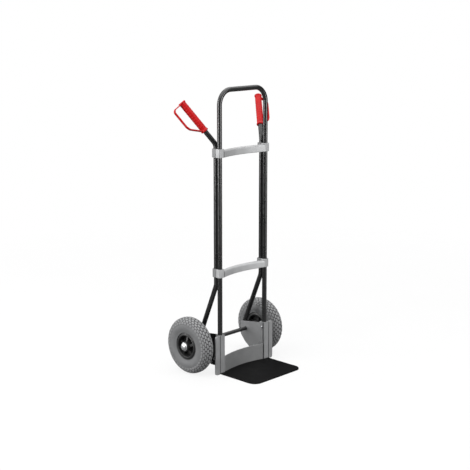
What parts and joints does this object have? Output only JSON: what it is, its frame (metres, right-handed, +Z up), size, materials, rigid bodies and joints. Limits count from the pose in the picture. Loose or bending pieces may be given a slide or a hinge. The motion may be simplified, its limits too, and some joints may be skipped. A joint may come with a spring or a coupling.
{
  "type": "hand truck",
  "caption": "Upright two-wheel hand truck with a tube loop frame, bowed crossbars, guarded grips, a flat nose plate and pneumatic wheels on a fixed axle.",
  "frame": {"origin": "on the floor, in the middle of the footprint's bounding box", "axes": "+Z up, +X to the user's left as they stand behind the handles, -Y towards the nose plate's front edge"},
  "size_m": [0.6014, 0.467, 1.3],
  "materials": {
    "black_tube": "black powder coat with a satin gloss",
    "grip_plastic": "red moulded plastic, satin to gloss",
    "crossbar_aluminium": "cast aluminium with a fine blasted surface",
    "bracket_aluminium": "extruded aluminium, satin",
    "back_plate_aluminium": "extruded aluminium, dull",
    "black_plate": "black powder coat, fine texture",
    "zinc_steel": "bright zinc plate",
    "hub_cap_metal": "bright zinc, domed and smooth",
    "tyre_rubber": "grey non-marking rubber with a block tread",
    "tube_rubber": "black rubber",
    "rim_plastic": "black moulded plastic, satin",
    "bearing_steel": "ground steel"
  },
  "bodies": {
    "frame": {"front_loop_tube": "black_tube", "left_rear_tube": "black_tube", "right_rear_tube": "black_tube", "left_safety_grip": "grip_plastic", "right_safety_grip": "grip_plastic", "upper_crossbar": "crossbar_aluminium", "lower_crossbar": "crossbar_aluminium", "left_upper_clamp": "crossbar_aluminium", "right_upper_clamp": "crossbar_aluminium", "left_lower_clamp": "crossbar_aluminium", "right_lower_clamp": "crossbar_aluminium", "left_side_bracket": "bracket_aluminium", "right_side_bracket": "bracket_aluminium", "back_plate": "back_plate_aluminium", "left_axle_plate": "black_plate", "right_axle_plate": "black_plate", "nose_plate": "black_plate", "axle": "black_plate", "left_axle_spacer": "black_plate", "right_axle_spacer": "black_plate", "left_upper_clamp_bolt": "zinc_steel", "right_upper_clamp_bolt": "zinc_steel", "left_lower_clamp_bolt": "zinc_steel", "right_lower_clamp_bolt": "zinc_steel", "left_tube_bolt": "zinc_steel", "right_tube_bolt": "zinc_steel", "left_front_bracket_bolt": "zinc_steel", "right_front_bracket_bolt": "zinc_steel", "left_rear_bracket_bolt": "zinc_steel", "right_rear_bracket_bolt": "zinc_steel", "left_front_bracket_nut": "zinc_steel", "right_front_bracket_nut": "zinc_steel", "left_rear_bracket_nut": "zinc_steel", "right_rear_bracket_nut": "zinc_steel", "left_back_plate_bolt": "zinc_steel", "right_back_plate_bolt": "zinc_steel", "left_front_nose_screw": "zinc_steel", "right_front_nose_screw": "zinc_steel", "left_rear_nose_screw": "zinc_steel", "right_rear_nose_screw": "zinc_steel", "left_axle_washer": "zinc_steel", "right_axle_washer": "zinc_steel", "left_hub_cap": "hub_cap_metal", "right_hub_cap": "hub_cap_metal"},
    "left_wheel": {"left_tyre": "tyre_rubber", "left_inner_tube": "tube_rubber", "left_valve": "tube_rubber", "left_rim": "rim_plastic", "left_outer_bearing": "bearing_steel", "left_inner_bearing": "bearing_steel"},
    "right_wheel": {"right_tyre": "tyre_rubber", "right_inner_tube": "tube_rubber", "right_valve": "tube_rubber", "right_rim": "rim_plastic", "right_outer_bearing": "bearing_steel", "right_inner_bearing": "bearing_steel"}
  },
  "joints": [
    {"name": "left_wheel_spin", "type": "hinge", "parent": "frame", "child": "left_wheel", "pos_m": [0.234, 0.1025, 0.131], "axis": [1, 0, 0], "continuous": true},
    {"name": "right_wheel_spin", "type": "hinge", "parent": "frame", "child": "right_wheel", "pos_m": [-0.234, 0.1025, 0.131], "axis": [1, 0, 0], "continuous": true}
  ]
}
